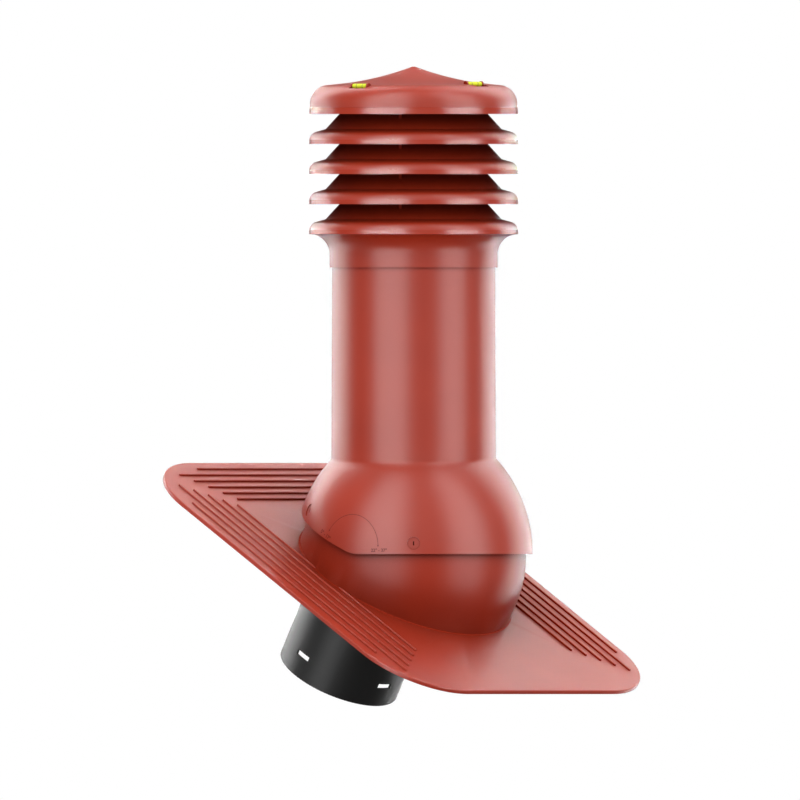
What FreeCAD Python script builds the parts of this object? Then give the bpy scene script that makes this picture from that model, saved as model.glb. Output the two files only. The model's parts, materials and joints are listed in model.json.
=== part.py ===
import FreeCAD, Part
import math
import os

os.makedirs("parts", exist_ok=True)

# Roof ventilation chimney: a moulded flashing plate with a ball turret, a hood that
# stands on the ball and is tilted until it is plumb, and a louvred rain cap.
# Millimetres, +Z up. The chimney axis is Z, +X points down the slope and Y runs along
# the ridge. The origin is where the chimney axis meets the roof under the flashing.

# Flashing plate, measured in the plane of the roof
ROOF_PITCH = 30.0
PLATE_WIDTH = 367.0
PLATE_TO_RIDGE = 250.0
PLATE_TO_EAVE = 208.5
PLATE_CORNER = 80.0
PLATE_WALL = 3.0
RIM_HEIGHT = 4.0
RIM_WALL = 3.0
PLATE_EDGE_ROUND = 1.2

# Water ribs on the plate, with upright sides and a round top: one group along the ridge
# and one down each side
RIB_RADIUS = 0.9
RIB_STANDS = 2.0
RIB_PITCH = 12.05
RIB_COUNT = 6
RIB_SHORTER = 10.05
RIDGE_RIB_EDGE = 14.1
RIDGE_RIB_REACH = 140.7
RIDGE_RIB_OUTER_REACH = 105.5
SIDE_RIB_EDGE = 12.7
SIDE_RIB_UPHILL = 203.9
SIDE_RIB_DOWNHILL = 168.9
SIDE_RIB_SETBACK = 36.0

# Ball turret of the flashing
BALL_RADIUS = 113.0
BALL_CENTRE_Z = 32.6
TURRET_WALL = 3.0
TURRET_FOOT_ROUND = 1.5
DOME_OPENING_RADIUS = 70.0

# Duct spigot, its flange in the turret's mouth, and the flange's screws
SPIGOT_RADIUS = 62.5
SPIGOT_WALL = 2.5
FLANGE_BORDER = 13.7
SPIGOT_LENGTH = 131.4
SPIGOT_SOCKET = 16.0
SPIGOT_EDGE_ROUND = 1.0
SLOT_COUNT = 4
SLOT_LENGTH = 17.6
SLOT_HEIGHT = 5.5
SLOT_ABOVE_END = 22.9
FLANGE_THICKNESS = 3.0
FLANGE_CLEARANCE = 0.3
SCREW_COUNT = 6
SCREW_INSET = 5.0
SCREW_RADIUS = 2.0
SCREW_LENGTH = 16.0
SCREW_HEAD_RADIUS = 4.0
SCREW_HEAD_HEIGHT = 2.2
SCREW_RECESS_RADIUS = 1.5
SCREW_RECESS_DEPTH = 1.2
SCREW_HOLE_CLEARANCE = 0.3
PILOT_CLEARANCE = 0.05
BOSS_RADIUS = 6.5
BOSS_HEIGHT = 20.0

# Hood: tube and ball skirt in one moulding
TUBE_RADIUS_TOP = 82.0
TUBE_RADIUS_NECK = 82.8
TUBE_TOP_Z = 340.0
NECK_BELOW_BALL_TOP = 11.0
HOOD_WALL = 3.0
SKIRT_ARC_RADIUS = 139.3
SKIRT_OUTSIDE_BALL = 6.5
SKIRT_ARC_RISE = 5.6
SKIRT_RIM_RISE = 3.9
SKIRT_STATIONS = 5
SKIRT_NECK_SHIFT = 4.5
SKIRT_LEAN_AZIMUTH = 131.0
NECK_ROUND = 5.0
SKIRT_INTO_TUBE = 15.0
TUBE_INTO_SKIRT = 24.0
RIM_CUT_ANGLE = 23.3
RIM_CUT_START_X = 28.0
RIM_CUT_BLEND = 40.0
PAD_RADIUS = 6.5
PAD_DEPTH = 1.2
PAD_SLOT_WIDTH = 1.3
PAD_SLOT_HEIGHT = 4.2
PAD_ABOVE_RIM = 10.9
PAD_LEVEL_OUTSIDE_BALL = 5.0
PAD_AZIMUTHS = (-45.0, -114.6, 135.0, 65.4)
BALL_CLEARANCE = 0.4
LEDGE_OVER_NECK = 2.4
LEDGE_THICKNESS = 2.5
RIB_IN_HOOD_COUNT = 8
RIB_IN_HOOD_WALL = 2.5
RIB_IN_HOOD_DROP = 45.0
RIB_IN_HOOD_FIRST = 22.5

# Inner duct and the insulation around it
LINER_RADIUS = 62.5
LINER_WALL = 1.5
LINER_ABOVE_WEB = 10.0
LINER_CLEARANCE = 0.2
SLEEVE_CLEARANCE = 0.3

# Louvred cap: collar, three rings and a cover, each with the same lip
CAP_WALL = 2.2
LIP_RADIUS = 105.0
LIP_ROUND = 9.7
LIP_STRAIGHT = 3.0
LIP_SLOPE = 16.0
CONE_FOOT_RADIUS = 88.5
CONE_ANGLE = 42.5
CONE_TOP_RADIUS = 65.0
COLLAR_LIP_Z = 358.0
LOUVRE_PITCH = 30.2
RING_COUNT = 3
COLLAR_RADIUS = 84.5
COLLAR_BOTTOM_Z = 324.5
COLLAR_FLARE_RADIUS = 20.0
COLLAR_CLEARANCE = 0.2
COLLAR_WEB = 2.2

# Posts that hang from each upper piece and are welded to the cone below
POST_COUNT = 3
POST_FIRST_AZIMUTH = -54.8
POST_WALL = 3.0
POST_INNER_RADIUS = 67.0
POST_OUTER_RADIUS = 79.0
POST_WELD_GAP = 0.05

# Cover of the cap
COVER_HEIGHT = 47.6
COVER_TIP_RADIUS = 1.5
COVER_WALL = 2.5
COVER_MID_RADIUS = 31.2
COVER_MID_DROP = 9.4
COVER_CONE_RADIUS = 64.3
COVER_CONE_DROP = 16.1
COVER_SHOULDER_DROP = 18.4
COVER_SHOULDER_ROUND = 19.1
COVER_BAND_HEIGHT = 6.6
COVER_BAND_STEP = 0.4

# Spirit levels on the cover: vial size, then centre (X, Y), azimuth and height of each
VIAL_RADIUS = 2.4
VIAL_LENGTH = 19.6
VIAL_EAR_WALL = 1.8
VIAL_EAR_RADIUS = 2.9
VIAL_FLOOR_WALL = 2.0
VIAL_POCKET_OUT = 16.0
VIAL_SEAT_CLEARANCE = 0.05
VIALS = {
    "level_vial_side": (13.3, -88.4, 0.0, 506.9),
    "level_vial_front": (78.4, 6.8, 90.0, 508.9),
}

V = FreeCAD.Vector
ORIGIN = V(0, 0, 0)
UP = V(0, 0, 1)
ALONG_RIDGE = V(0, 1, 0)

plate_top = RIM_HEIGHT
plate_under = RIM_HEIGHT - PLATE_WALL
sin_pitch = math.sin(math.radians(ROOF_PITCH))
cos_pitch = math.cos(math.radians(ROOF_PITCH))
# the ball's centre in the plane of the roof, and the spigot's axis beside it
turret_x = -BALL_CENTRE_Z * sin_pitch
ball_height = BALL_CENTRE_Z * cos_pitch
turret_mouth = BALL_RADIUS - TURRET_WALL
flange_radius = turret_mouth - FLANGE_CLEARANCE
screw_circle_radius = turret_mouth - SCREW_INSET
spigot_x = turret_x - (flange_radius - FLANGE_BORDER - SPIGOT_RADIUS)
# the hood's heights and its skirt's arc, from the ball that it rides on
neck_z = BALL_CENTRE_Z + BALL_RADIUS - NECK_BELOW_BALL_TOP
skirt_arc_z = BALL_CENTRE_Z + SKIRT_ARC_RISE
skirt_rim_z = BALL_CENTRE_Z + SKIRT_RIM_RISE
skirt_arc_offset = BALL_RADIUS + SKIRT_OUTSIDE_BALL - SKIRT_ARC_RADIUS
pad_level_radius = BALL_RADIUS + PAD_LEVEL_OUTSIDE_BALL
ledge_top_z = neck_z + LEDGE_OVER_NECK
rib_in_hood_bottom_z = ledge_top_z - RIB_IN_HOOD_DROP
web_top = TUBE_TOP_Z + COLLAR_WEB
cover_bottom = COLLAR_LIP_Z + (RING_COUNT + 1) * LOUVRE_PITCH
cover_peak = cover_bottom + COVER_HEIGHT
cone_run = math.tan(math.radians(CONE_ANGLE))


def section(start, moves):
    """A closed face in the XZ plane: a pair is a line to (r, z), two pairs are an arc through and to."""
    edges = []
    here = V(start[0], 0, start[1])
    for move in moves:
        if isinstance(move[0], tuple):
            through, end = (V(r, 0, z) for r, z in move)
            edges.append(Part.Arc(here, through, end).toShape())
        else:
            end = V(move[0], 0, move[1])
            edges.append(Part.LineSegment(here, end).toShape())
        here = end
    first = V(start[0], 0, start[1])
    if here.distanceToPoint(first) > 1e-6:
        edges.append(Part.LineSegment(here, first).toShape())
    return Part.Face(Part.Wire(edges))


def turned(start, moves):
    """The section turned a full circle about Z."""
    return section(start, moves).revolve(ORIGIN, UP, 360)


def on_arc(centre, radius, degrees):
    """The point at an angle up from the +X direction on an arc in the XZ plane."""
    angle = math.radians(degrees)
    return (centre[0] + radius * math.cos(angle), centre[1] + radius * math.sin(angle))


def around(shape, azimuth, centre=ORIGIN):
    """A copy turned about the vertical through centre."""
    copy = shape.copy()
    copy.rotate(centre, UP, azimuth)
    return copy


def pitched(shape):
    """A copy of what was drawn flat on the roof, laid at the roof's pitch."""
    copy = shape.copy()
    copy.rotate(ORIGIN, ALONG_RIDGE, ROOF_PITCH)
    return copy


def tube(outer, wall, bottom, top, axis_x=0.0):
    """A round tube standing on the XY plane at axis_x."""
    base = V(axis_x, 0, bottom)
    solid = Part.makeCylinder(outer, top - bottom, base)
    return solid.cut(Part.makeCylinder(outer - wall, top - bottom, base))


def rounded_plate(inset, bottom, top):
    """The flashing's outline, moved in by inset, from bottom to top."""
    x0 = -PLATE_TO_RIDGE + inset
    x1 = PLATE_TO_EAVE - inset
    half = PLATE_WIDTH / 2 - inset
    slab = Part.makeBox(x1 - x0, 2 * half, top - bottom, V(x0, -half, bottom))
    corners = [e for e in slab.Edges if abs(e.tangentAt(e.FirstParameter).z) > 0.99]
    return slab.makeFillet(PLATE_CORNER - inset, corners)


def water_rib(x0, y0, x1, y1):
    """One round-topped water rib between two points of the plate's top."""
    run = V(x1 - x0, y1 - y0, 0)
    foot = plate_top - PLATE_WALL / 2
    shoulder = plate_top + RIB_STANDS - RIB_RADIUS
    over = ((0, shoulder + RIB_RADIUS), (-RIB_RADIUS, shoulder))
    moves = [(RIB_RADIUS, shoulder), over, (-RIB_RADIUS, foot)]
    rib = section((RIB_RADIUS, foot), moves).extrude(V(0, run.Length, 0))
    rib.rotate(ORIGIN, UP, math.degrees(math.atan2(run.y, run.x)) - 90)
    return rib.translate(V(x0, y0, 0))


def water_ribs():
    """The plate's water ribs, ended at the turret's wall."""
    ribs = []
    for i in range(RIB_COUNT):
        x = -PLATE_TO_RIDGE + RIDGE_RIB_EDGE + i * RIB_PITCH
        reach = RIDGE_RIB_OUTER_REACH
        if i > 0:
            reach = RIDGE_RIB_REACH - (i - 1) * RIB_SHORTER
        ribs.append(water_rib(x, -reach, x, reach))
    for i in range(RIB_COUNT):
        y = PLATE_WIDTH / 2 - SIDE_RIB_EDGE - i * RIB_PITCH
        back = SIDE_RIB_SETBACK
        if i > 0:
            back = (i - 1) * RIB_SHORTER
        for side in (-1, 1):
            ribs.append(water_rib(back - SIDE_RIB_UPHILL, side * y, SIDE_RIB_DOWNHILL - back, side * y))
    in_turret = turret_form(TURRET_WALL + 2 * FLANGE_CLEARANCE, 0)
    return [rib.cut(in_turret) for rib in ribs]


def turret_form(inset, bottom):
    """The turret's solid form: a cylinder square to the roof, capped by the ball."""
    radius = BALL_RADIUS - inset
    centre = (0, ball_height)
    moves = [(radius, bottom), (radius, ball_height), (on_arc(centre, radius, 45), (0, ball_height + radius))]
    form = turned((0, bottom), moves)
    form.translate(V(turret_x, 0, 0))
    return form


def screw_places():
    """The flange screws' centres, spread evenly with none straight up the slope."""
    step = 360 / SCREW_COUNT
    for i in range(SCREW_COUNT):
        angle = math.radians(step * (i + 0.5))
        x = turret_x + screw_circle_radius * math.cos(angle)
        yield V(x, screw_circle_radius * math.sin(angle), plate_under)


def round_edges(shape, radius, wanted):
    """The shape with a round on each edge that wanted picks."""
    return shape.makeFillet(radius, [e for e in shape.Edges if wanted(e)])


def flashing_base():
    """Plate, rim, ribs and ball turret: one moulding, with screw bosses in the turret's mouth."""
    plate = rounded_plate(0, 0, plate_top)
    plate = round_edges(plate, PLATE_EDGE_ROUND, lambda e: e.BoundBox.ZMin > plate_top - 0.01)
    body = plate.fuse(turret_form(0, plate_under))

    def at_foot(edge):
        flat = edge.BoundBox.ZLength < 0.01 and abs(edge.BoundBox.ZMin - plate_top) < 0.01
        return flat and isinstance(edge.Curve, Part.Circle) and abs(edge.Curve.Radius - BALL_RADIUS) < 0.01

    body = round_edges(body, TURRET_FOOT_ROUND, at_foot)
    body = body.cut([rounded_plate(RIM_WALL, 0, plate_under), turret_form(TURRET_WALL, 0)])
    bosses = []
    boss_reach = turret_form(TURRET_WALL / 2, 0)
    for place in screw_places():
        foot = V(place.x, place.y, plate_top)
        bosses.append(Part.makeCylinder(BOSS_RADIUS, BOSS_HEIGHT, foot).common(boss_reach))
    body = body.fuse(bosses + water_ribs())
    pilot = SCREW_RADIUS + PILOT_CLEARANCE
    body = body.cut([Part.makeCylinder(pilot, SCREW_LENGTH + 1, place) for place in screw_places()])
    body = pitched(body.removeSplitter())
    return body.cut(Part.makeCylinder(DOME_OPENING_RADIUS, 2 * BALL_RADIUS, V(0, 0, BALL_CENTRE_Z)))


def duct_spigot():
    """Black duct spigot with the flange that closes the turret's mouth: one moulding."""
    end = plate_top - SPIGOT_LENGTH
    flange_top = plate_under + FLANGE_THICKNESS
    flange = Part.makeCylinder(flange_radius, FLANGE_THICKNESS, V(turret_x, 0, plate_under))
    pipe = Part.makeCylinder(SPIGOT_RADIUS, flange_top + SPIGOT_SOCKET - end, V(spigot_x, 0, end))
    pipe = round_edges(pipe, SPIGOT_EDGE_ROUND, lambda e: e.BoundBox.ZMax < end + 0.01)
    bore = Part.makeCylinder(SPIGOT_RADIUS - SPIGOT_WALL, 2 * SPIGOT_LENGTH, V(spigot_x, 0, end - 1))
    cuts = [bore]
    for i in range(SLOT_COUNT):
        low = V(spigot_x, -SLOT_LENGTH / 2, end + SLOT_ABOVE_END - SLOT_HEIGHT / 2)
        slot = Part.makeBox(SPIGOT_RADIUS + 1, SLOT_LENGTH, SLOT_HEIGHT, low)
        cuts.append(around(slot, i * 360 / SLOT_COUNT, V(spigot_x, 0, 0)))
    for place in screw_places():
        cuts.append(Part.makeCylinder(SCREW_RADIUS + SCREW_HOLE_CLEARANCE, FLANGE_THICKNESS, place))
        cuts.append(Part.makeCone(SCREW_HEAD_RADIUS, SCREW_RADIUS, SCREW_HEAD_HEIGHT, place))
    return pitched(flange.fuse(pipe).cut(cuts))


def flange_screws():
    """The countersunk screws that hold the spigot's flange to the turret's bosses."""
    screws = []
    for place in screw_places():
        head = Part.makeCone(SCREW_HEAD_RADIUS, SCREW_RADIUS, SCREW_HEAD_HEIGHT, place)
        shank = Part.makeCylinder(SCREW_RADIUS, SCREW_LENGTH, place)
        recess = Part.makeCylinder(SCREW_RECESS_RADIUS, SCREW_RECESS_DEPTH, place)
        screws.append(pitched(head.fuse(shank).cut(recess)))
    return Part.makeCompound(screws)


def skirt_radius(z, inset):
    """The skirt's radius at a height, on the arc that its moulding follows."""
    return skirt_arc_offset + math.sqrt((SKIRT_ARC_RADIUS - inset) ** 2 - (z - skirt_arc_z) ** 2)


def skirt_lean(z):
    """How far the skirt's round at a height lies off the axis: the skirt leans towards its neck."""
    share = max(0.0, (z - skirt_rim_z) / (neck_z - skirt_rim_z))
    return SKIRT_NECK_SHIFT * share**2


def skirt_form(inset, bottom, top):
    """The skirt's solid form, lofted through level circles."""
    rounds = []
    for i in range(SKIRT_STATIONS):
        z = bottom + (top - bottom) * i / (SKIRT_STATIONS - 1)
        rounds.append(Part.Wire(Part.Circle(V(skirt_lean(z), 0, z), UP, skirt_radius(z, inset)).toShape()))
    return around(Part.makeLoft(rounds, True, False), SKIRT_LEAN_AZIMUTH)


def tube_radius(z):
    """The tube's outside, with the moulding's slight draft."""
    share = (z - neck_z) / (TUBE_TOP_Z - neck_z)
    return TUBE_RADIUS_NECK + (TUBE_RADIUS_TOP - TUBE_RADIUS_NECK) * share


def tube_form(inset, bottom, top):
    return Part.makeCone(tube_radius(bottom) - inset, tube_radius(top) - inset, top - bottom, V(0, 0, bottom))


def hood_form(inset, skirt_bottom, top):
    """Tube and skirt as one solid form, moved in by inset, each run on into the other."""
    skirt = skirt_form(inset, skirt_bottom, neck_z + SKIRT_INTO_TUBE)
    return skirt.fuse(tube_form(inset, neck_z - TUBE_INTO_SKIRT, top))


def rim_z(x):
    """The height of the skirt's rim over x, before its blend."""
    return skirt_rim_z + max(0.0, RIM_CUT_START_X - x) * math.tan(math.radians(RIM_CUT_ANGLE))


def rim_cutter():
    """What is cut off under the rim: flat downhill, rising uphill, with a blend between."""
    reach = 2 * SKIRT_ARC_RADIUS
    tangent = RIM_CUT_BLEND * math.tan(math.radians(RIM_CUT_ANGLE / 2))
    centre = (RIM_CUT_START_X + tangent, skirt_rim_z + RIM_CUT_BLEND)
    flat_end = (centre[0], skirt_rim_z)
    middle = on_arc(centre, RIM_CUT_BLEND, -90 - RIM_CUT_ANGLE / 2)
    slope_end = on_arc(centre, RIM_CUT_BLEND, -90 - RIM_CUT_ANGLE)
    moves = [(reach, skirt_rim_z), flat_end, (middle, slope_end), (-reach, rim_z(-reach)), (-reach, -reach)]
    return section((reach, -reach), moves).extrude(V(0, 2 * reach, 0)).translate(V(0, -reach, 0))


def screw_pads():
    """Four spot-faced pads over the rim, each with a slot for a fixing screw."""
    cuts = []
    for azimuth in PAD_AZIMUTHS:
        angle = math.radians(azimuth)
        z = rim_z(pad_level_radius * math.cos(angle)) + PAD_ABOVE_RIM
        out = skirt_radius(z, 0) + skirt_lean(z) * math.cos(angle - math.radians(SKIRT_LEAN_AZIMUTH))
        tilt = math.degrees(math.asin((z - skirt_arc_z) / SKIRT_ARC_RADIUS))
        spot = Part.makeCylinder(PAD_RADIUS, 3 * PAD_DEPTH, V(-PAD_DEPTH, 0, 0), V(1, 0, 0))
        low = V(-3 * HOOD_WALL, -PAD_SLOT_WIDTH / 2, -PAD_SLOT_HEIGHT / 2)
        slot = Part.makeBox(6 * HOOD_WALL, PAD_SLOT_WIDTH, PAD_SLOT_HEIGHT, low)
        for cut in (spot, slot):
            cut.rotate(ORIGIN, ALONG_RIDGE, -tilt)
            cut.translate(V(out, 0, z))
            cuts.append(around(cut, azimuth))
    return cuts


def hood_shell():
    """Tube and ball skirt: one moulding, with a ledge inside and ribs that ride on the ball."""
    shell = hood_form(0, skirt_rim_z - HOOD_WALL, TUBE_TOP_Z)
    shell = shell.cut(hood_form(HOOD_WALL, skirt_rim_z - 2 * HOOD_WALL, TUBE_TOP_Z))
    reach = hood_form(HOOD_WALL / 2, skirt_rim_z, TUBE_TOP_Z)
    ledge_bottom = ledge_top_z - LEDGE_THICKNESS
    ledge = Part.makeCylinder(BALL_RADIUS, LEDGE_THICKNESS, V(0, 0, ledge_bottom)).common(reach)
    ball = Part.makeSphere(BALL_RADIUS + BALL_CLEARANCE, V(0, 0, BALL_CENTRE_Z))
    ribs = []
    for i in range(RIB_IN_HOOD_COUNT):
        low = V(LINER_RADIUS, -RIB_IN_HOOD_WALL / 2, rib_in_hood_bottom_z)
        rib = Part.makeBox(BALL_RADIUS, RIB_IN_HOOD_WALL, ledge_bottom - rib_in_hood_bottom_z, low)
        rib = around(rib, RIB_IN_HOOD_FIRST + i * 360 / RIB_IN_HOOD_COUNT)
        ribs.append(rib.common(reach).cut(ball))
    shell = shell.fuse([ledge] + ribs)
    bore = LINER_RADIUS - LINER_WALL
    shell = shell.cut(Part.makeCylinder(bore, BALL_RADIUS, V(0, 0, ledge_top_z - BALL_RADIUS / 2)))
    shell = shell.cut([rim_cutter()] + screw_pads())
    return round_edges(shell, NECK_ROUND, at_neck)


def at_neck(edge):
    """Is this edge the crease where the tube meets the skirt?"""
    box = edge.BoundBox
    near = abs((box.ZMin + box.ZMax) / 2 - neck_z) < SKIRT_INTO_TUBE
    return near and box.XLength > 2 * (TUBE_RADIUS_NECK - HOOD_WALL / 2)


def duct_liner():
    """The inner duct, a plain pipe that stands on the hood's ledge."""
    return tube(LINER_RADIUS, LINER_WALL, ledge_top_z, web_top + LINER_ABOVE_WEB)


def insulation_sleeve():
    """Foam sleeve that fills the room between the duct and the tube."""
    outer = TUBE_RADIUS_TOP - HOOD_WALL - SLEEVE_CLEARANCE
    inner = LINER_RADIUS + LINER_CLEARANCE
    return tube(outer, outer - inner, ledge_top_z, TUBE_TOP_Z)


def cone_z(lip_z, radius):
    """The height of a louvre cone's upper face at a radius."""
    return cone_foot_z(lip_z) + (CONE_FOOT_RADIUS - radius) / cone_run


def cone_foot_z(lip_z):
    """The height of the knee where a lip's top turns up into its cone."""
    start = lip_arc(lip_z, LIP_ROUND, 90 - LIP_SLOPE)
    return start[1] + (start[0] - CONE_FOOT_RADIUS) * math.tan(math.radians(LIP_SLOPE))


def lip_arc(lip_z, radius, degrees):
    return on_arc((LIP_RADIUS - LIP_ROUND, lip_z + LIP_STRAIGHT), radius, degrees)


def lip_moves(lip_z):
    """From the cone's top down its face, over the lip's round to the lip's lower edge."""
    steep = 90 - LIP_SLOPE
    return [
        (CONE_FOOT_RADIUS, cone_foot_z(lip_z)),
        lip_arc(lip_z, LIP_ROUND, steep),
        (lip_arc(lip_z, LIP_ROUND, steep / 2), lip_arc(lip_z, LIP_ROUND, 0)),
        (LIP_RADIUS, lip_z),
    ]


def under_lip_moves(lip_z):
    """The same way back on the inside of the wall, up to the cone's top."""
    steep = 90 - LIP_SLOPE
    inner = LIP_ROUND - CAP_WALL
    slope = math.radians(LIP_SLOPE)
    cone = math.radians(CONE_ANGLE)
    # the inner knee lies on the line that halves the angle between the two walls
    down = V(-math.sin(slope) - math.cos(cone), 0, -math.cos(slope) - math.sin(cone))
    reach = CAP_WALL / (1 + math.sin(slope) * math.cos(cone) + math.cos(slope) * math.sin(cone))
    knee = (CONE_FOOT_RADIUS + down.x * reach, cone_foot_z(lip_z) + down.z * reach)
    run = (knee[0] - CONE_TOP_RADIUS) + CAP_WALL * math.cos(cone)
    return [
        (lip_arc(lip_z, inner, steep / 2), lip_arc(lip_z, inner, steep)),
        knee,
        (knee[0] - run, knee[1] + run / cone_run),
    ]


def cone_top(lip_z):
    return (CONE_TOP_RADIUS, cone_z(lip_z, CONE_TOP_RADIUS))


def posts(lip_z, top_moves):
    """The posts from an upper piece down to the cone of the louvre at lip_z."""
    outer = (POST_OUTER_RADIUS, cone_z(lip_z, POST_OUTER_RADIUS) + POST_WELD_GAP)
    inner = (POST_INNER_RADIUS, cone_z(lip_z, POST_INNER_RADIUS) + POST_WELD_GAP)
    one = section(outer, [inner] + top_moves).extrude(V(0, POST_WALL, 0)).translate(V(0, -POST_WALL / 2, 0))
    return [around(one, POST_FIRST_AZIMUTH + i * 360 / POST_COUNT) for i in range(POST_COUNT)]


def cap_collar():
    """The cap's foot: a sleeve over the tube, a web over the foam and the lowest louvre."""
    seat = TUBE_RADIUS_TOP + COLLAR_CLEARANCE
    flare_z = COLLAR_LIP_Z - COLLAR_FLARE_RADIUS
    flare_centre = (COLLAR_RADIUS + COLLAR_FLARE_RADIUS, flare_z)
    flare_wall = COLLAR_FLARE_RADIUS + CAP_WALL
    inner_lip = LIP_RADIUS - CAP_WALL
    # where the flare's inside meets the inside of the lip
    inner_end = math.degrees(math.acos((inner_lip - flare_centre[0]) / flare_wall))
    moves = lip_moves(COLLAR_LIP_Z)
    moves += [
        on_arc(flare_centre, COLLAR_FLARE_RADIUS, 90),
        (on_arc(flare_centre, COLLAR_FLARE_RADIUS, 135), (COLLAR_RADIUS, flare_z)),
        (COLLAR_RADIUS, COLLAR_BOTTOM_Z),
        (tube_radius(COLLAR_BOTTOM_Z) + COLLAR_CLEARANCE, COLLAR_BOTTOM_Z),
        (seat, TUBE_TOP_Z),
        (LINER_RADIUS + LINER_CLEARANCE, TUBE_TOP_Z),
        (LINER_RADIUS + LINER_CLEARANCE, web_top),
        (COLLAR_RADIUS - CAP_WALL, web_top),
        (COLLAR_RADIUS - CAP_WALL, flare_z),
        (on_arc(flare_centre, flare_wall, 135), on_arc(flare_centre, flare_wall, inner_end)),
        (inner_lip, COLLAR_LIP_Z + LIP_STRAIGHT),
    ]
    moves += under_lip_moves(COLLAR_LIP_Z)
    return turned(cone_top(COLLAR_LIP_Z), moves)


def louvre_ring(number):
    """One louvre: a rolled lip, a cone and the posts that stand on the louvre below."""
    lip_z = COLLAR_LIP_Z + number * LOUVRE_PITCH
    inner_lip = LIP_RADIUS - CAP_WALL
    moves = lip_moves(lip_z)
    moves += [(inner_lip, lip_z), (inner_lip, lip_z + LIP_STRAIGHT)]
    moves += under_lip_moves(lip_z)
    ring = turned(cone_top(lip_z), moves)
    into_wall = CAP_WALL / 2 / math.sin(math.radians(CONE_ANGLE))
    high = [
        (POST_INNER_RADIUS, cone_z(lip_z, POST_INNER_RADIUS) - into_wall),
        (POST_OUTER_RADIUS, cone_z(lip_z, POST_OUTER_RADIUS) - into_wall),
    ]
    return ring.fuse(posts(lip_z - LOUVRE_PITCH, high))


def cover_section(inset):
    """Half of the cover's outline from its peak to its lower edge, moved in by inset."""
    shoulder = LIP_RADIUS - 2 * COVER_BAND_STEP - COVER_SHOULDER_ROUND
    centre = (shoulder, cover_peak - COVER_SHOULDER_DROP - COVER_SHOULDER_ROUND)
    arc = COVER_SHOULDER_ROUND - inset
    middle = (COVER_MID_RADIUS, cover_peak - COVER_MID_DROP - inset)
    return [
        (COVER_TIP_RADIUS, cover_peak - inset),
        (middle, (COVER_CONE_RADIUS, cover_peak - COVER_CONE_DROP - inset)),
        on_arc(centre, arc, 90),
        (on_arc(centre, arc, 45), on_arc(centre, arc, 0)),
    ]


def cover_form():
    """The cover's solid outer form."""
    moves = cover_section(0)
    band = LIP_RADIUS - 2 * COVER_BAND_STEP
    moves += [
        (band, cover_bottom + COVER_BAND_HEIGHT + COVER_BAND_STEP),
        (band + COVER_BAND_STEP, cover_bottom + COVER_BAND_HEIGHT),
        (LIP_RADIUS, cover_bottom),
        (0, cover_bottom),
    ]
    return turned((0, cover_peak), moves)


def vial_seat(x, y, azimuth, z):
    """A spirit level's seat in the cover: the block around it, the pocket in it and the two ears."""
    length = VIAL_LENGTH + 2 * VIAL_EAR_WALL
    floor = VIAL_RADIUS + VIAL_FLOOR_WALL
    deep = VIAL_EAR_RADIUS + VIAL_POCKET_OUT
    low = V(-length / 2, -VIAL_POCKET_OUT, -floor)
    block = Part.makeBox(length, deep + VIAL_FLOOR_WALL, 2 * floor, low)
    low = V(-VIAL_LENGTH / 2, -VIAL_POCKET_OUT, -VIAL_RADIUS)
    pocket = Part.makeBox(VIAL_LENGTH, deep, VIAL_POCKET_OUT, low)
    ears = []
    for end in (-length / 2, VIAL_LENGTH / 2):
        ear = Part.makeCylinder(VIAL_EAR_RADIUS, VIAL_EAR_WALL, V(end, 0, 0), V(1, 0, 0))
        low = V(end, -VIAL_EAR_RADIUS, -floor)
        ears.append(ear.fuse(Part.makeBox(VIAL_EAR_WALL, 2 * VIAL_EAR_RADIUS, floor, low)))
    for piece in [block, pocket] + ears:
        piece.rotate(ORIGIN, UP, azimuth)
        piece.translate(V(x, y, z))
    return block, pocket, ears


def cap_cover():
    """The cap's lid: a shallow peaked cover with a seat for each spirit level."""
    outside = cover_form()
    moves = cover_section(COVER_WALL) + [(LIP_RADIUS - COVER_WALL, cover_bottom), (0, cover_bottom)]
    body = outside.cut(turned((0, cover_peak - COVER_WALL), moves))
    ceiling = cover_peak - COVER_CONE_DROP - COVER_WALL / 2
    outer_ceiling = cover_peak - COVER_SHOULDER_DROP - COVER_WALL / 2
    high = [(POST_INNER_RADIUS, ceiling), (POST_OUTER_RADIUS, outer_ceiling)]
    body = body.fuse(posts(cover_bottom - LOUVRE_PITCH, high))
    for place in VIALS.values():
        block, pocket, ears = vial_seat(*place)
        body = body.fuse(block.common(outside)).cut(pocket).fuse(ears)
    return body.removeSplitter()


def level_vial(name):
    """One spirit level's vial, lying between the ears of its seat."""
    x, y, azimuth, z = VIALS[name]
    length = VIAL_LENGTH - 2 * VIAL_SEAT_CLEARANCE
    vial = Part.makeCylinder(VIAL_RADIUS, length, V(-length / 2, 0, 0), V(1, 0, 0))
    vial.rotate(ORIGIN, UP, azimuth)
    vial.translate(V(x, y, z))
    return vial


NODES = {
    "flashing_base": flashing_base(),
    "duct_spigot": duct_spigot(),
    "flange_screws": flange_screws(),
    "hood_shell": hood_shell(),
    "duct_liner": duct_liner(),
    "insulation_sleeve": insulation_sleeve(),
    "cap_collar": cap_collar(),
    "louvre_ring_lower": louvre_ring(1),
    "louvre_ring_middle": louvre_ring(2),
    "louvre_ring_upper": louvre_ring(3),
    "cap_cover": cap_cover(),
}
for name in VIALS:
    NODES[name] = level_vial(name)

for name, shape in NODES.items():
    box = shape.BoundBox
    print(f"{name}: {len(shape.Solids)} solids, valid {shape.isValid()}, {shape.Volume / 1000:.1f} cm3, "
          f"x {box.XMin:.1f} {box.XMax:.1f} y {box.YMin:.1f} {box.YMax:.1f} z {box.ZMin:.1f} {box.ZMax:.1f}")
    shape.exportStep(f"parts/{name}.step")
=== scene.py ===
import bpy
import bmesh
import json
import math
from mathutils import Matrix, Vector
from mathutils.bvhtree import BVHTree

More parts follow.
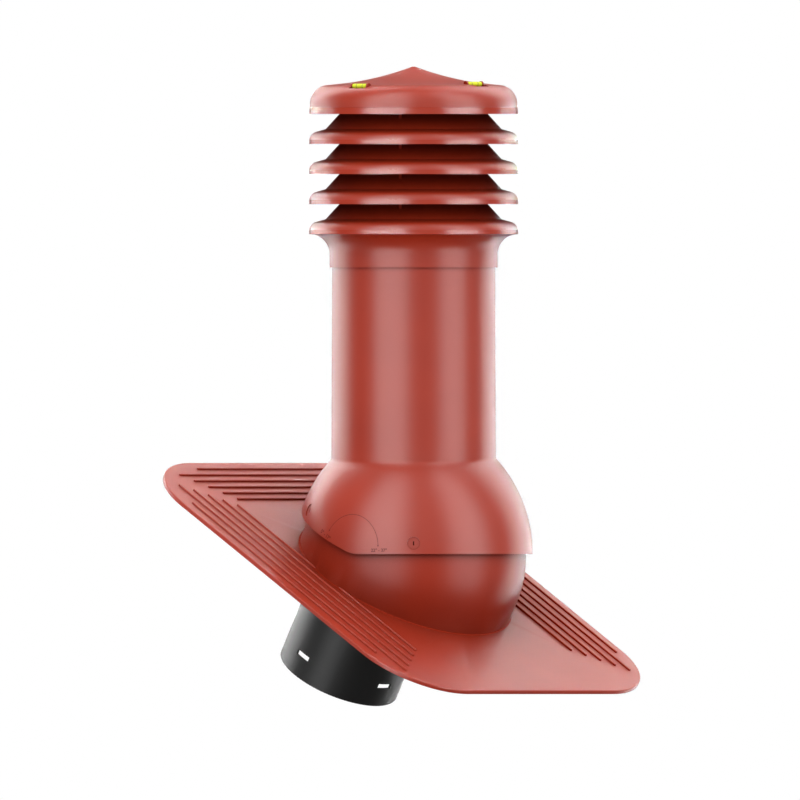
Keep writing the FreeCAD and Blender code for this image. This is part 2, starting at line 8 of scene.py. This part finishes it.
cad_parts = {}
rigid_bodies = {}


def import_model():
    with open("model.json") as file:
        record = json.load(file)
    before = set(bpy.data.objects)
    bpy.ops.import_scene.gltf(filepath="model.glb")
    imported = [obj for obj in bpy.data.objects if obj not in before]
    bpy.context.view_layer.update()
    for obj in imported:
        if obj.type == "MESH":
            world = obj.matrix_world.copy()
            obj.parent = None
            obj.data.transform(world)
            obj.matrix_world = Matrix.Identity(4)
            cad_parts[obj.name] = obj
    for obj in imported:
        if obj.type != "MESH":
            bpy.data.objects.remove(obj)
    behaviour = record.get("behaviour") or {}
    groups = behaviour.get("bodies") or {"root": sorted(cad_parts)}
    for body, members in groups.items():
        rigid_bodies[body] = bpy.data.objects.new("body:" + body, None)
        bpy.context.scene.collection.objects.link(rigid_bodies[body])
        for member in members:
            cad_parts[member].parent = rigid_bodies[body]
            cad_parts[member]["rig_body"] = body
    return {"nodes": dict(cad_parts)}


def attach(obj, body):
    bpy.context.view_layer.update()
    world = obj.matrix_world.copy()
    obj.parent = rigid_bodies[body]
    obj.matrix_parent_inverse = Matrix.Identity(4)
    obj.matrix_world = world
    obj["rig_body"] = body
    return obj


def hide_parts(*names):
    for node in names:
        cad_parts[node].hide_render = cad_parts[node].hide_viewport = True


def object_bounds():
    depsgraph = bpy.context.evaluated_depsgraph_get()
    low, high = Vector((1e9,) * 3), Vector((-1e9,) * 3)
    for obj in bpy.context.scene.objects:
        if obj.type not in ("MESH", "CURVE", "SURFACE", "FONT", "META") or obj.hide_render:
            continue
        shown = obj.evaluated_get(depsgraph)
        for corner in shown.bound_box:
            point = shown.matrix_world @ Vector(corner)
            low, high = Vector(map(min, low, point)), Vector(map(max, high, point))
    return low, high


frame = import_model()
cad_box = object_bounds()

# The flashing plate with its ball turret. One injection moulding in brick-red
# polypropylene, lying on the roof at 30 degrees.
BRICK = "A73018"
BRICK_DEEP = "A02D17"
# the shade drifts over about 60 mm, and the grain, 0.4 mm in the mould, is drawn at
# 1.1 mm so that it shows
DRIFTS_PER_METRE = 16.0
GRAINS_PER_METRE = 900.0
GRAIN_DEPTH = 0.0003
# openness runs from 0 in a deep hole to 1 in the open: where the painted shade ends, how dark
# it gets, and where the shine starts and is full
SHADE_ENDS = 0.95
DARKEST = 0.12
SHINE_STARTS, SHINE_FULL = 0.2, 0.9
# a CAD edge that turns by less is part of a curved face
SHARP_DEGREES = 25
MERGE_DISTANCE = 1e-6
ROOF_PITCH = math.radians(30)
OFF_THE_ROOF = Vector((math.sin(ROOF_PITCH), 0, math.cos(ROOF_PITCH)))
UP_THE_ROOF = Vector((-math.cos(ROOF_PITCH), 0, math.sin(ROOF_PITCH)))
# heights over the roof: just over the plate, and the top of the foot's round and the ribs
FOOT_FROM = 0.00402
RIBS_FROM = 0.0041
FOOT_AND_RIBS_TOP = 0.0062
# the turret's axis up the roof, its foot's radius, and where the plate's clear side starts
TURRET_PLACE = 0.0163
TURRET_FOOT_RADIUS = 0.1148
CLEAR_SIDE = -0.09


def linear(hex_colour):
    """An sRGB hex colour as the linear RGBA that the shaders take."""
    channels = [int(hex_colour[i:i + 2], 16) / 255 for i in (0, 2, 4)]
    return tuple(c / 12.92 if c <= 0.04045 else ((c + 0.055) / 1.055) ** 2.4 for c in channels) + (1,)


def add_node(owner, kind, settings=None, **inputs):
    """A shader node with its settings. An input, by its name or as i and its number, is a
    value or the output socket that feeds it."""
    node = owner.node_tree.nodes.new(kind)
    for key, value in (settings or {}).items():
        setattr(node, key, value)
    for key, value in inputs.items():
        numbered = key[0] == "i" and key[1:].isdigit()
        socket = node.inputs[int(key[1:])] if numbered else node.inputs[key.replace("_", " ")]
        if isinstance(value, bpy.types.NodeSocket):
            owner.node_tree.links.new(value, socket)
        else:
            socket.default_value = value
    return node


def new_material(name):
    """A material with an empty node tree."""
    material = bpy.data.materials.new(name)
    material.use_nodes = True
    material.node_tree.nodes.clear()
    return material


def brick_polypropylene(finish, roughness, shine, grain, shade_reach):
    """Injection-moulded polypropylene, coloured through: satin, as rough as its mould. Its colour
    is darkened with painted shade in hollows, and its shine is dulled there.
    """
    material = new_material("moulded_brick_polypropylene_" + finish)
    place = add_node(material, "ShaderNodeTexCoord").outputs["Object"]
    # slow drift in shade from flow and pigment
    drift = add_node(material, "ShaderNodeTexNoise", Vector=place, Scale=DRIFTS_PER_METRE, Detail=2.0)
    tint = add_node(material, "ShaderNodeValToRGB", Fac=drift.outputs["Fac"])
    for stop, position, colour in zip(tint.color_ramp.elements, (0.3, 0.7), (BRICK_DEEP, BRICK)):
        stop.position = position
        stop.color = linear(colour)
    # painted shade: hollows such as those between the louvres are painted darker, and shine less
    hollow = add_node(material, "ShaderNodeAmbientOcclusion", {"samples": 6}, Distance=shade_reach)
    openness = hollow.outputs["AO"]
    shade = add_node(material, "ShaderNodeMapRange", i0=openness, i1=0.0, i2=SHADE_ENDS, i3=DARKEST, i4=1.0)
    shaded = add_node(material, "ShaderNodeVectorMath", {"operation": "SCALE"}, i0=tint.outputs["Color"],
                      i3=shade.outputs["Result"])
    gloss = add_node(material, "ShaderNodeMapRange", i0=openness, i1=SHINE_STARTS, i2=SHINE_FULL, i3=0.0,
                     i4=shine)
    rough = add_node(material, "ShaderNodeTexNoise", Vector=place, Scale=GRAINS_PER_METRE, Detail=1.0)
    bump = add_node(material, "ShaderNodeBump", Height=rough.outputs["Fac"], Strength=grain,
                    Distance=GRAIN_DEPTH)
    skin = add_node(material, "ShaderNodeBsdfPrincipled", Base_Color=shaded.outputs["Vector"],
                    Normal=bump.outputs["Normal"], Roughness=roughness, IOR=1.49,
                    Specular_IOR_Level=gloss.outputs["Result"])
    add_node(material, "ShaderNodeOutputMaterial", Surface=skin.outputs["BSDF"])
    return material


def smooth_copy(node, material):
    """A copy of a CAD node's mesh, merged and shaded smooth between its real edges."""
    mesh = bpy.data.meshes.new(node + "_skin")
    shape = bmesh.new()
    shape.from_mesh(frame["nodes"][node].data)
    bmesh.ops.remove_doubles(shape, verts=shape.verts, dist=MERGE_DISTANCE)
    for face in shape.faces:
        face.smooth = True
    for edge in shape.edges:
        edge.smooth = len(edge.link_faces) == 2 and edge.calc_face_angle(0) < math.radians(SHARP_DEGREES)
    shape.to_mesh(mesh)
    shape.free()
    mesh.materials.append(material)
    piece = bpy.data.objects.new(node + "_skin", mesh)
    bpy.context.scene.collection.objects.link(piece)
    body = frame["nodes"][node]["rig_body"]
    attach(piece, body)
    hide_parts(node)
    return piece


# Grained is the satin of a spark-eroded mould. The other copies paint light and shade.
# Shaded is for the turret, which stands in the hood's shade and is darkened and dulled with more
# painted shade; open is a lit copy for the ribs on the plate's clear side, with no painted shade
# and far more shine; and corner paints hollows too tight to shine dark and matt.
brick_grained = brick_polypropylene("grained", roughness=0.34, shine=0.28, grain=0.06, shade_reach=0.1)
brick_shaded = brick_polypropylene("shaded", roughness=0.34, shine=0.18, grain=0.06, shade_reach=0.3)
brick_lit_copy = brick_polypropylene("open", roughness=0.28, shine=0.8, grain=0.03, shade_reach=0.001)
brick_corner_painted_shade = brick_polypropylene("corner", roughness=0.5, shine=0.02, grain=0.06, shade_reach=0.3)
flashing = smooth_copy("flashing_base", brick_grained)
for other in (brick_shaded, brick_lit_copy, brick_corner_painted_shade):
    flashing.data.materials.append(other)
SHADED, LIT_COPY, CORNER_PAINTED_SHADE = 1, 2, 3
# painted shade on the turret's foot round and the turret, and the lit copy on the clear side's ribs
for face in flashing.data.polygons:
    height = face.center.dot(OFF_THE_ROOF)
    from_axis = math.hypot(face.center.dot(UP_THE_ROOF) - TURRET_PLACE, face.center.y)
    if FOOT_FROM < height < FOOT_AND_RIBS_TOP and from_axis < TURRET_FOOT_RADIUS:
        face.material_index = CORNER_PAINTED_SHADE
    elif height > FOOT_AND_RIBS_TOP:
        face.material_index = SHADED
    elif height > RIBS_FROM and face.center.y < CLEAR_SIDE:
        face.material_index = LIT_COPY

# The duct spigot: a socket of black polypropylene, moulded with the flange that
# closes the turret's mouth.
FLOWS_PER_METRE = 60.0


def black_polypropylene():
    """Black polypropylene as moulded: a soft sheen and faint flow lines, about 17 mm apart."""
    material = new_material("moulded_black_polypropylene")
    place = add_node(material, "ShaderNodeTexCoord").outputs["Object"]
    flow = add_node(material, "ShaderNodeTexNoise", Vector=place, Scale=FLOWS_PER_METRE, Detail=3.0)
    bump = add_node(material, "ShaderNodeBump", Height=flow.outputs["Fac"], Strength=0.05, Distance=0.0005)
    skin = add_node(material, "ShaderNodeBsdfPrincipled", Base_Color=linear("242424"),
                    Normal=bump.outputs["Normal"], Roughness=0.42, IOR=1.49, Specular_IOR_Level=0.2)
    add_node(material, "ShaderNodeOutputMaterial", Surface=skin.outputs["BSDF"])
    return material


spigot = smooth_copy("duct_spigot", black_polypropylene())

# The six countersunk screws that hold the flange to the turret's bosses: steel, cold
# headed and zinc plated.


def zinc_plated_steel():
    """Zinc on steel: plain grey metal with a soft shine."""
    material = new_material("zinc_plated_steel")
    skin = add_node(material, "ShaderNodeBsdfPrincipled", Base_Color=linear("C9CBCC"), Metallic=1.0,
                    Roughness=0.38)
    add_node(material, "ShaderNodeOutputMaterial", Surface=skin.outputs["BSDF"])
    return material


screws = smooth_copy("flange_screws", zinc_plated_steel())

# The hood: tube and ball skirt, one moulding in the same red as the flashing. The
# skirt rides on the turret and is cut higher on the uphill side.
hood = smooth_copy("hood_shell", brick_grained)

# The tilt scale on the hood's skirt: an arc with arrowheads and the roof's degrees,
# engraved fine, so that its lines lie in their own shade. It is drawn on the skirt
# unrolled flat, as thin strips a little proud of the skirt, painted dark and matt as
# painted shade for the engraving.
SKIRT_RADIUS = 0.119
OUTSIDE_SKIRT = 0.3
MARKS_HEADING = -45.0
ARC_CENTRE = Vector((-0.0681, 0.0446))
ARC_RADIUS = 0.0318
ARC_FROM, ARC_TO, ARC_STEP = 2, 149, 3
LINE_WIDTH = 0.0006
LINE_PROUD = 0.00008
ARROW_LENGTH = 0.0022
ARROW_HALF_WIDTH = ARROW_LENGTH / 2.5
# each text with its centre, its lean in degrees and its size
DEGREE_MARKS = (
    ("5° - 17°", Vector((-0.1010, 0.0558)), -30, 0.0054),
    ("22° - 37°", Vector((-0.0352, 0.0402)), 0, 0.0046),
)
MARK_BOLDER = 0.00012
hood_shape = BVHTree.FromPolygons([v.co for v in frame["nodes"]["hood_shell"].data.vertices],
                                  [f.vertices[:] for f in frame["nodes"]["hood_shell"].data.polygons])


def on_skirt(spot, proud):
    """A spot of the unrolled skirt, way round and height, laid a little proud of its face."""
    turn = math.radians(MARKS_HEADING) + spot.x / SKIRT_RADIUS
    out = Vector((math.cos(turn), math.sin(turn), 0))
    place, normal, _, _ = hood_shape.ray_cast(out * OUTSIDE_SKIRT + Vector((0, 0, spot.y)), -out)
    return place + normal * proud


def ray_out(degrees):
    """The direction from the arc's centre at an angle."""
    return Vector((math.cos(math.radians(degrees)), math.sin(math.radians(degrees))))


def groove_painted_shade():
    """Painted shade: the same brick polypropylene, painted dark and matt as it looks in the
    shade of a fine engraved line.
    """
    material = new_material("brick_polypropylene_groove_painted_shade")
    skin = add_node(material, "ShaderNodeBsdfPrincipled", Base_Color=linear("6A1C13"), Roughness=0.6,
                    IOR=1.49, Specular_IOR_Level=0.1)
    add_node(material, "ShaderNodeOutputMaterial", Surface=skin.outputs["BSDF"])
    return material


marks = bmesh.new()
rail = []
for degrees in range(ARC_FROM, ARC_TO + 1, ARC_STEP):
    across = ((ARC_RADIUS - LINE_WIDTH / 2, 0), (ARC_RADIUS, LINE_PROUD), (ARC_RADIUS + LINE_WIDTH / 2, 0))
    rail.append([marks.verts.new(on_skirt(ARC_CENTRE + ray_out(degrees) * radius, proud))
                 for radius, proud in across])
for here, there in zip(rail, rail[1:]):
    for i in (0, 1):
        marks.faces.new((here[i], here[i + 1], there[i + 1], there[i]))
for degrees, way in ((ARC_FROM, -1), (ARC_TO, 1)):
    out = ray_out(degrees)
    end = ARC_CENTRE + out * ARC_RADIUS
    tip = end + Vector((-out.y, out.x)) * way * ARROW_LENGTH
    corners = (tip, end + out * ARROW_HALF_WIDTH, end - out * ARROW_HALF_WIDTH)
    marks.faces.new([marks.verts.new(on_skirt(corner, LINE_PROUD)) for corner in corners])
for text, centre, lean, size in DEGREE_MARKS:
    curve = bpy.data.curves.new("degree_mark", "FONT")
    curve.body = text
    curve.size = size
    curve.offset = MARK_BOLDER
    curve.align_x = curve.align_y = "CENTER"
    holder = bpy.data.objects.new("degree_mark", curve)
    flat = bpy.data.meshes.new_from_object(holder)
    along = ray_out(lean)
    up = Vector((-along.y, along.x))
    for vert in flat.vertices:
        vert.co = on_skirt(centre + along * vert.co.x + up * vert.co.y, LINE_PROUD)
    marks.from_mesh(flat)
    bpy.data.objects.remove(holder)
bmesh.ops.recalc_face_normals(marks, faces=marks.faces)
mesh = bpy.data.meshes.new("tilt_scale")
marks.to_mesh(mesh)
marks.free()
mesh.materials.append(groove_painted_shade())
tilt_scale = bpy.data.objects.new("tilt_scale", mesh)
bpy.context.scene.collection.objects.link(tilt_scale)
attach(tilt_scale, frame["nodes"]["hood_shell"]["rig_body"])

# The duct in the hood, a grey polypropylene pipe that stands on the hood's ledge, and
# the foam around it, moulded from polystyrene beads.
BEADS_PER_METRE = 250.0


def grey_polypropylene():
    """Grey polypropylene pipe, extruded: satin and plain."""
    material = new_material("extruded_grey_polypropylene")
    skin = add_node(material, "ShaderNodeBsdfPrincipled", Base_Color=linear("6D6F71"), Roughness=0.4,
                    IOR=1.49)
    add_node(material, "ShaderNodeOutputMaterial", Surface=skin.outputs["BSDF"])
    return material


def expanded_polystyrene():
    """Expanded polystyrene: matt white beads of about 4 mm."""
    material = new_material("expanded_polystyrene")
    place = add_node(material, "ShaderNodeTexCoord").outputs["Object"]
    beads = add_node(material, "ShaderNodeTexVoronoi", Vector=place, Scale=BEADS_PER_METRE)
    bump = add_node(material, "ShaderNodeBump", Height=beads.outputs["Distance"], Strength=0.3,
                    Distance=0.0008)
    skin = add_node(material, "ShaderNodeBsdfPrincipled", Base_Color=linear("E9E9E4"),
                    Normal=bump.outputs["Normal"], Roughness=0.8, IOR=1.5)
    add_node(material, "ShaderNodeOutputMaterial", Surface=skin.outputs["BSDF"])
    return material


liner = smooth_copy("duct_liner", grey_polypropylene())
foam = smooth_copy("insulation_sleeve", expanded_polystyrene())

# The rain cap: a collar over the tube, three louvres and a lid, each moulded in the
# same red and welded on at its posts. The upright edges of their lips are polished, and
# the posts, which stand in the louvres' shade, take the corner copy with its painted shade.
ON_LIP, ON_POST = 1, 2
# distances from the hood's axis, and how little an upright face looks up or down
LIPS_FROM = 0.1044
POST_INNER, POST_OUTER = 0.066, 0.0795
UPRIGHT = 0.2
brick_polished = brick_polypropylene("polished", roughness=0.22, shine=0.52, grain=0.01, shade_reach=0.1)
for part in ("cap_collar", "louvre_ring_lower", "louvre_ring_middle", "louvre_ring_upper", "cap_cover"):
    piece = smooth_copy(part, brick_grained)
    piece.data.materials.append(brick_polished)
    piece.data.materials.append(brick_corner_painted_shade)
    for face in piece.data.polygons:
        from_axis = face.center.xy.length
        if abs(face.normal.z) < UPRIGHT and from_axis > LIPS_FROM:
            face.material_index = ON_LIP
        elif abs(face.normal.z) < UPRIGHT and POST_INNER < from_axis < POST_OUTER:
            face.material_index = ON_POST

# The two spirit levels in the lid: acrylic vials full of yellow-green spirit, each with
# two dark rings printed round it.
RING_PLACE = 0.0041
RING_WIDTH = 0.0007
# the vial's radius of 2.4 mm, and the ink's thickness
RING_RADIUS = 0.00244


def spirit_in_acrylic():
    """Yellow-green spirit in clear cast acrylic: so small that only its colour and gloss show."""
    material = new_material("spirit_in_cast_acrylic")
    skin = add_node(material, "ShaderNodeBsdfPrincipled", Base_Color=linear("DDEB3A"), Roughness=0.15,
                    IOR=1.49)
    add_node(material, "ShaderNodeOutputMaterial", Surface=skin.outputs["BSDF"])
    return material


def printed_ring_ink():
    """Ink screen printed round the vial: a dark olive line."""
    material = new_material("screen_printed_dark_ink")
    skin = add_node(material, "ShaderNodeBsdfPrincipled", Base_Color=linear("5A6410"), Roughness=0.4, IOR=1.5)
    add_node(material, "ShaderNodeOutputMaterial", Surface=skin.outputs["BSDF"])
    return material


spirit = spirit_in_acrylic()
ring_ink = printed_ring_ink()
for node in ("level_vial_side", "level_vial_front"):
    vial = smooth_copy(node, spirit)
    low = Vector(min(vert.co[i] for vert in vial.data.vertices) for i in range(3))
    high = Vector(max(vert.co[i] for vert in vial.data.vertices) for i in range(3))
    along = Vector((1, 0, 0)) if high.x - low.x > high.y - low.y else Vector((0, 1, 0))
    lying = along.to_track_quat("Z", "Y").to_matrix().to_4x4()
    rings = bmesh.new()
    for side in (-1, 1):
        lying.translation = (low + high) / 2 + along * side * RING_PLACE
        bmesh.ops.create_cone(rings, segments=32, radius1=RING_RADIUS, radius2=RING_RADIUS, depth=RING_WIDTH,
                              matrix=lying, cap_ends=False)
    mesh = bpy.data.meshes.new(node + "_rings")
    rings.to_mesh(mesh)
    rings.free()
    mesh.materials.append(ring_ink)
    pair = bpy.data.objects.new(node + "_rings", mesh)
    bpy.context.scene.collection.objects.link(pair)
    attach(pair, frame["nodes"][node]["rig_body"])

# The studio's floor, pale and matt, a little under the spigot's lowest point. What the
# camera sees of it is mostly plain white.
FLOOR_GAP = 0.001
FLOOR_REACH = 6
PAPER_SHARE = 0.6


def pale_floor():
    """Matt white paint: white for the camera, and greyer to the object, which it lights from below."""
    material = new_material("matt_white_floor")
    seen = add_node(material, "ShaderNodeLightPath").outputs["Is Camera Ray"]
    tone = add_node(material, "ShaderNodeMix", {"data_type": "RGBA"}, i0=seen, i6=linear("9F9F9F"),
                    i7=linear("EDEDED"))
    paint = add_node(material, "ShaderNodeBsdfDiffuse", Color=tone.outputs[2])
    paper = add_node(material, "ShaderNodeEmission", Color=(1, 1, 1, 1), Strength=1.0)
    share = add_node(material, "ShaderNodeMath", {"operation": "MULTIPLY"}, i0=seen, i1=PAPER_SHARE)
    mixed = add_node(material, "ShaderNodeMixShader", Fac=share.outputs["Value"], i1=paint.outputs["BSDF"],
                     i2=paper.outputs["Emission"])
    add_node(material, "ShaderNodeOutputMaterial", Surface=mixed.outputs["Shader"])
    return material


shape = bmesh.new()
bmesh.ops.create_grid(shape, x_segments=1, y_segments=1, size=FLOOR_REACH)
bmesh.ops.translate(shape, verts=shape.verts, vec=(0, 0, cad_box[0][2] - FLOOR_GAP))
mesh = bpy.data.meshes.new("studio_floor")
shape.to_mesh(mesh)
shape.free()
mesh.materials.append(pale_floor())
floor = bpy.data.objects.new("studio_floor", mesh)
bpy.context.scene.collection.objects.link(floor)
# no reflection shows the floor, and it holds back no light from below its level
floor.visible_glossy = False
floor.visible_shadow = False

# The studio's light: even from all round and dimmer from below, with more from the
# camera's side and from high up behind. Reflections show a dim room instead, and the
# camera sees white.
DIM_ROOM = 0.1
# directions as the camera sees them
AWAY = Vector((-math.sqrt(0.5), math.sqrt(0.5), 0))
RIGHT = Vector((math.sqrt(0.5), math.sqrt(0.5), 0))
UP = Vector((0, 0, 1))
# strength by the sine of the height over the horizon
EVEN_LIGHT = ((-1.0, 0.3), (-0.1, 0.3), (0.1, 0.5), (0.5, 0.8), (1.0, 0.9))
# added strength by the cosine of the angle off the light's middle
FRONT_LIGHT = ((0.0, 0.0), (0.5, 0.35), (1.0, 1.6))
BACK_LIGHT = ((0.5, 0.0), (0.8, 1.4), (1.0, 3.6))
BACK_HEIGHT = math.radians(45)


def graph(owner, value, points):
    """A curve through points, as a colour ramp that is scaled to their highest level."""
    low, high = points[0][0], points[-1][0]
    top = max(level for _, level in points)
    place = add_node(owner, "ShaderNodeMapRange", i0=value, i1=low, i2=high).outputs["Result"]
    ramp = add_node(owner, "ShaderNodeValToRGB", Fac=place)
    stops = ramp.color_ramp.elements
    while len(stops) < len(points):
        stops.new(1.0)
    for stop, (at, level) in zip(stops, points):
        stop.position = (at - low) / (high - low)
        stop.color = (level / top, level / top, level / top, 1)
    scaled = add_node(owner, "ShaderNodeMath", {"operation": "MULTIPLY"}, i0=ramp.outputs["Color"], i1=top)
    return scaled.outputs["Value"]


world = bpy.data.worlds.new("white_studio")
bpy.context.scene.world = world
world.use_nodes = True
world.node_tree.nodes.clear()
path = add_node(world, "ShaderNodeLightPath").outputs
look = add_node(world, "ShaderNodeTexCoord").outputs["Generated"]
height = add_node(world, "ShaderNodeSeparateXYZ", Vector=look).outputs["Z"]
light = graph(world, height, EVEN_LIGHT)
high_behind = AWAY * math.cos(BACK_HEIGHT) + UP * math.sin(BACK_HEIGHT)
for way, points in ((-AWAY, FRONT_LIGHT), (high_behind, BACK_LIGHT)):
    facing = add_node(world, "ShaderNodeVectorMath", {"operation": "DOT_PRODUCT"}, i0=look, i1=way)
    more = graph(world, facing.outputs["Value"], points)
    light = add_node(world, "ShaderNodeMath", {"operation": "ADD"}, i0=light, i1=more).outputs["Value"]
room = add_node(world, "ShaderNodeMix", i0=path["Is Glossy Ray"], i2=light, i3=DIM_ROOM).outputs["Result"]
seen = add_node(world, "ShaderNodeMix", i0=path["Is Camera Ray"], i2=room, i3=1.0).outputs["Result"]
white = add_node(world, "ShaderNodeBackground", Color=(1, 1, 1, 1), Strength=seen)
add_node(world, "ShaderNodeOutputWorld", Surface=white.outputs["Background"])

# The upright lamps that only reflections show: two tall soft boxes beside the camera,
# and behind the object bright walls, dimmer towards the middle. The left wall is lower,
# with a narrower and brighter one over it.
LAMP_DISTANCE = 6.0
LAMP_BOTTOM = -3.2
LAMP_TOP = 18.0
WALL_TOP = 2.0


def upright_light(name, heading, half_angle, glow, bottom=LAMP_BOTTOM, top=LAMP_TOP):
    """A flat lamp on a heading from the camera's side, positive to its right, and its half
    width, both in degrees. Its glow is the brightness that reflections show."""
    lamp = bpy.data.lights.new(name, "AREA")
    lamp.shape = "RECTANGLE"
    lamp.size = 2 * LAMP_DISTANCE * math.tan(math.radians(half_angle))
    lamp.size_y = top - bottom
    lamp.energy = glow * math.pi * lamp.size * lamp.size_y
    lamp.cycles.use_multiple_importance_sampling = False
    panel = bpy.data.objects.new(name, lamp)
    way = -AWAY * math.cos(math.radians(heading)) + RIGHT * math.sin(math.radians(heading))
    panel.location = way * LAMP_DISTANCE + UP * (top + bottom) / 2
    panel.rotation_euler = way.to_track_quat("Z", "Y").to_euler()
    panel.visible_diffuse = False
    panel.visible_camera = False
    bpy.context.scene.collection.objects.link(panel)


upright_light("left_box", -32.5, 23.5, 7.6)
upright_light("right_box", 57, 19.5, 7.2)
upright_light("left_wall", -126, 22, 4.8, top=WALL_TOP)
upright_light("left_wall_high", -137, 12, 6.4, bottom=WALL_TOP)
upright_light("left_wall_far", -160, 11, 2.1)
upright_light("right_wall", 131, 18, 4.5)
upright_light("right_wall_far", 161, 11, 2.0)

# The camera, level and square on, turned 45 degrees to the slope, with no perspective.
# The size of the photograph's pixel comes from the spigot, which is 125 mm across.
PIXEL = 0.001005
PHOTO_WIDTH = 800
# where the hood's axis meets the roof, from the photograph's left and from its top
AXIS_PIXEL = 413.6
ROOF_PIXEL = 590.4
CAMERA_DISTANCE = 2.5
camera = bpy.data.cameras.new("photo_camera")
camera.type = "ORTHO"
camera.ortho_scale = PHOTO_WIDTH * PIXEL
eye = bpy.data.objects.new("photo_camera", camera)
aim = RIGHT * (PHOTO_WIDTH / 2 - AXIS_PIXEL) * PIXEL + UP * (ROOF_PIXEL - PHOTO_WIDTH / 2) * PIXEL
eye.location = aim - AWAY * CAMERA_DISTANCE
eye.rotation_euler = (math.radians(90), 0, math.radians(45))
bpy.context.scene.collection.objects.link(eye)
bpy.context.scene.camera = eye
bpy.context.scene.view_settings.view_transform = "Standard"
